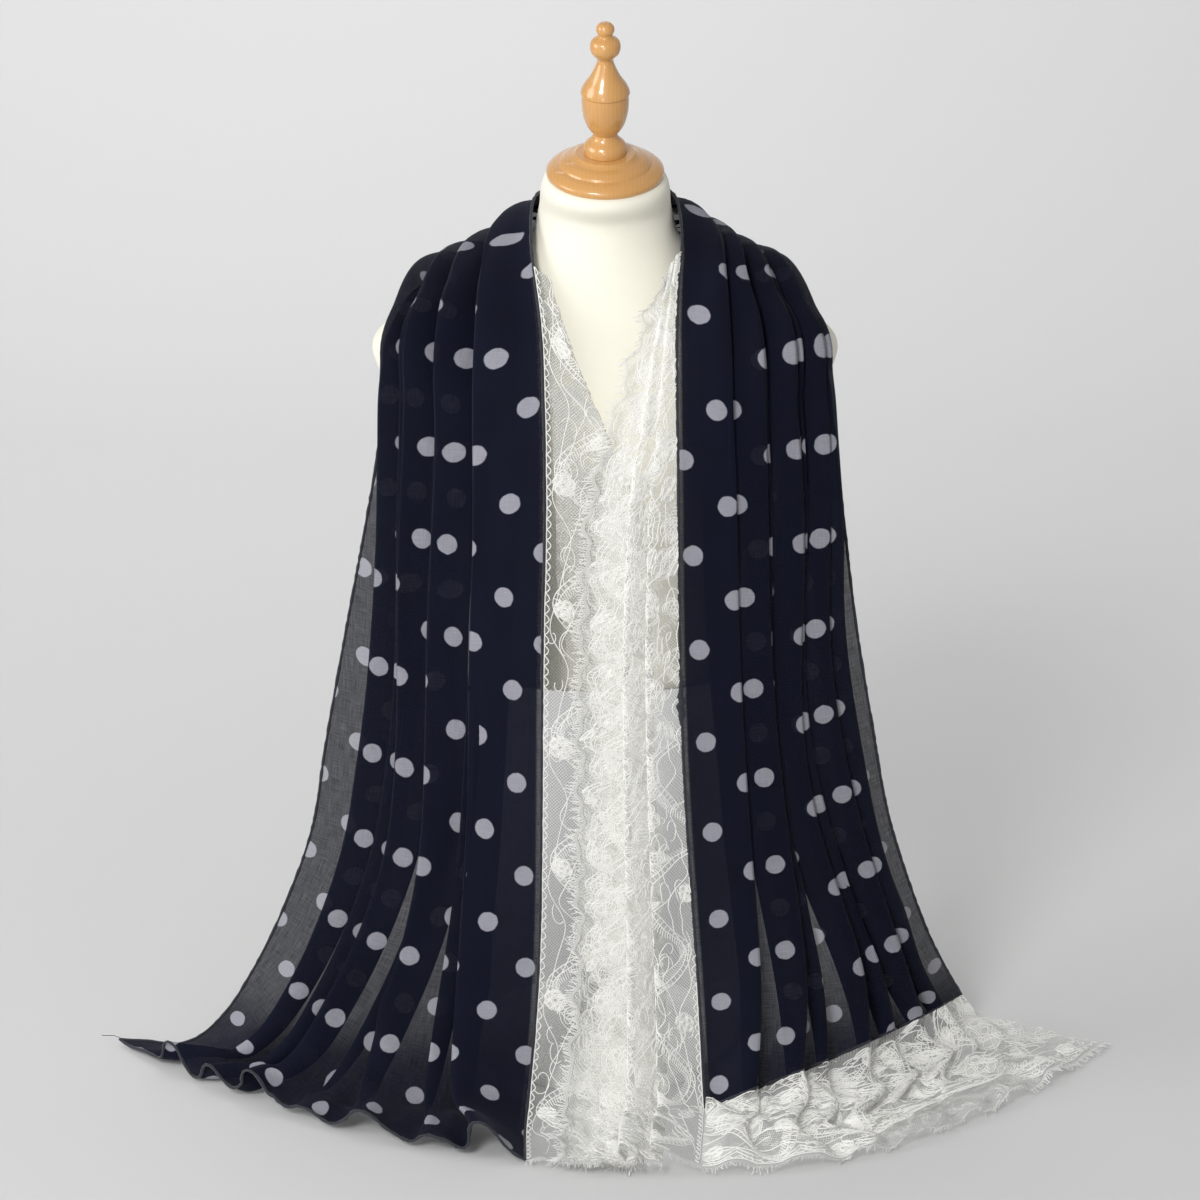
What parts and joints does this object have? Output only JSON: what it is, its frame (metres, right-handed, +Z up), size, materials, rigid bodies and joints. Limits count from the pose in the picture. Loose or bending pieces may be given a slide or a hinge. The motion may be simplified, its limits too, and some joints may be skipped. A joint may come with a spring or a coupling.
{
  "type": "lace-edged chiffon hijab on dress form",
  "caption": "Sheer dotted chiffon hijab with floral eyelash lace, draped round the neck of a limbless dress form on a round base, with its ends spread on the floor.",
  "frame": {"origin": "middle of the underside of the stand's round base, on the floor", "axes": "+X to the viewer's right, +Y from the front of the form to its back, +Z up"},
  "size_m": [0.8936, 0.4175, 0.939],
  "materials": {
    "cream_jersey": "matt stretch jersey",
    "varnished_beech": "gloss varnish",
    "white_enamel": "satin enamel",
    "black_metal": "satin black",
    "navy_chiffon": "sheer matt weave with pale dots",
    "white_lace": "matt cotton lace"
  },
  "bodies": {
    "root": {"form_torso": "cream_jersey", "form_cap": "varnished_beech", "form_finial": "varnished_beech", "form_pole": "white_enamel", "form_socket": "black_metal", "form_base": "white_enamel", "chiffon_front_left": "navy_chiffon", "chiffon_front_right": "navy_chiffon", "chiffon_back": "navy_chiffon", "lace_end_ruffle": "white_lace", "lace_edging_left": "white_lace", "lace_edging_right": "white_lace", "lace_edging_nape": "white_lace", "lace_lashes_right": "white_lace", "lace_lashes_ruffle": "white_lace"}
  },
  "joints": []
}
